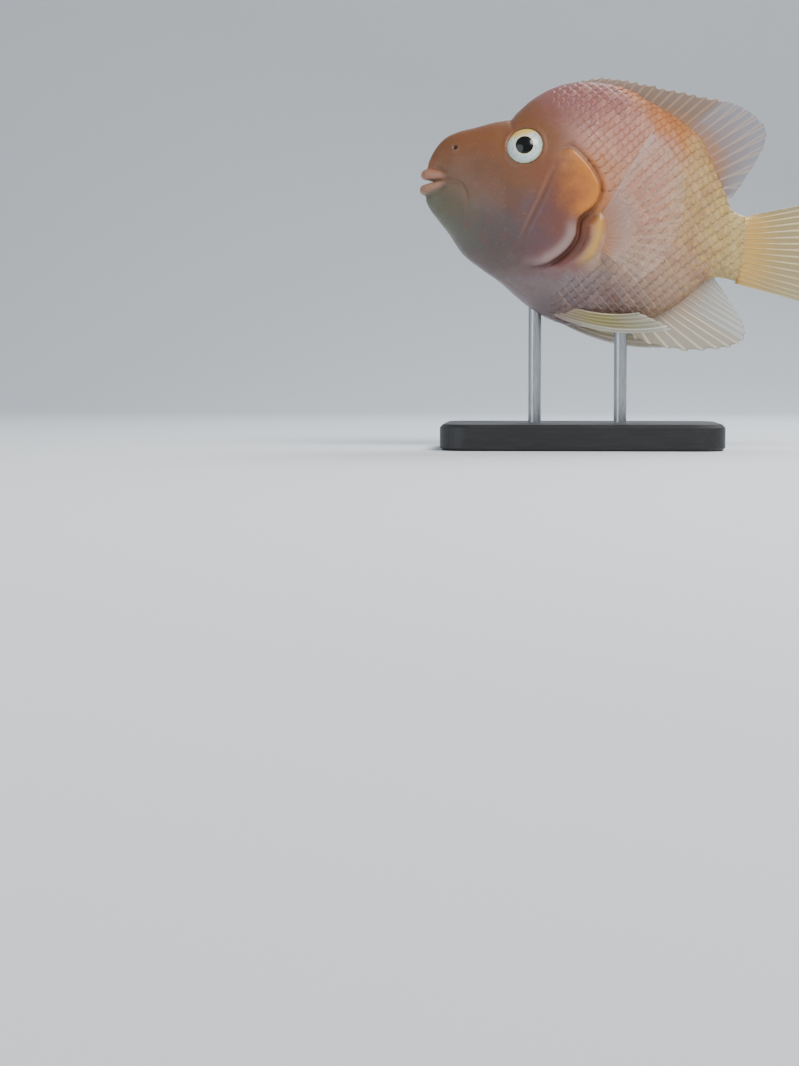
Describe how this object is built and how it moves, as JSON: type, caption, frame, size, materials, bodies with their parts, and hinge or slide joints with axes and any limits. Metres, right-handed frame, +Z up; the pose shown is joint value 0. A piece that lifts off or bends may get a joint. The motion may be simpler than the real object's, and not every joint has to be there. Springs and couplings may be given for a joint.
{
  "type": "blood parrot cichlid model",
  "caption": "Life-size still model of a deep-bodied orange aquarium fish with a humped nape and small beak-like mouth, held over a flat display base by two short rods.",
  "frame": {"origin": "middle of the display base's underside", "axes": "+X towards the tail fin, +Y towards the fish's right side, +Z up"},
  "size_m": [0.1987, 0.094, 0.1724],
  "materials": {
    "skin": "moist skin",
    "jaw": "moist skin",
    "gill_cover": "moist skin",
    "eye": "wet",
    "flank": "scaled skin",
    "tail_stalk": "scaled skin",
    "median_fin": "thin membrane",
    "paired_fin": "thin membrane",
    "stand": "satin black",
    "rod": "brushed"
  },
  "bodies": {
    "root": {"head": "skin", "lower_jaw": "jaw", "gill_cover_left": "gill_cover", "gill_cover_right": "gill_cover", "eye_left": "eye", "eye_right": "eye", "trunk": "flank", "tail_stalk": "tail_stalk", "dorsal_fin": "median_fin", "anal_fin": "median_fin", "tail_fin": "median_fin", "pectoral_fin_left": "paired_fin", "pectoral_fin_right": "paired_fin", "pelvic_fin_left": "paired_fin", "pelvic_fin_right": "paired_fin", "stand_base": "stand", "stand_rod_front": "rod", "stand_rod_rear": "rod"}
  },
  "joints": []
}
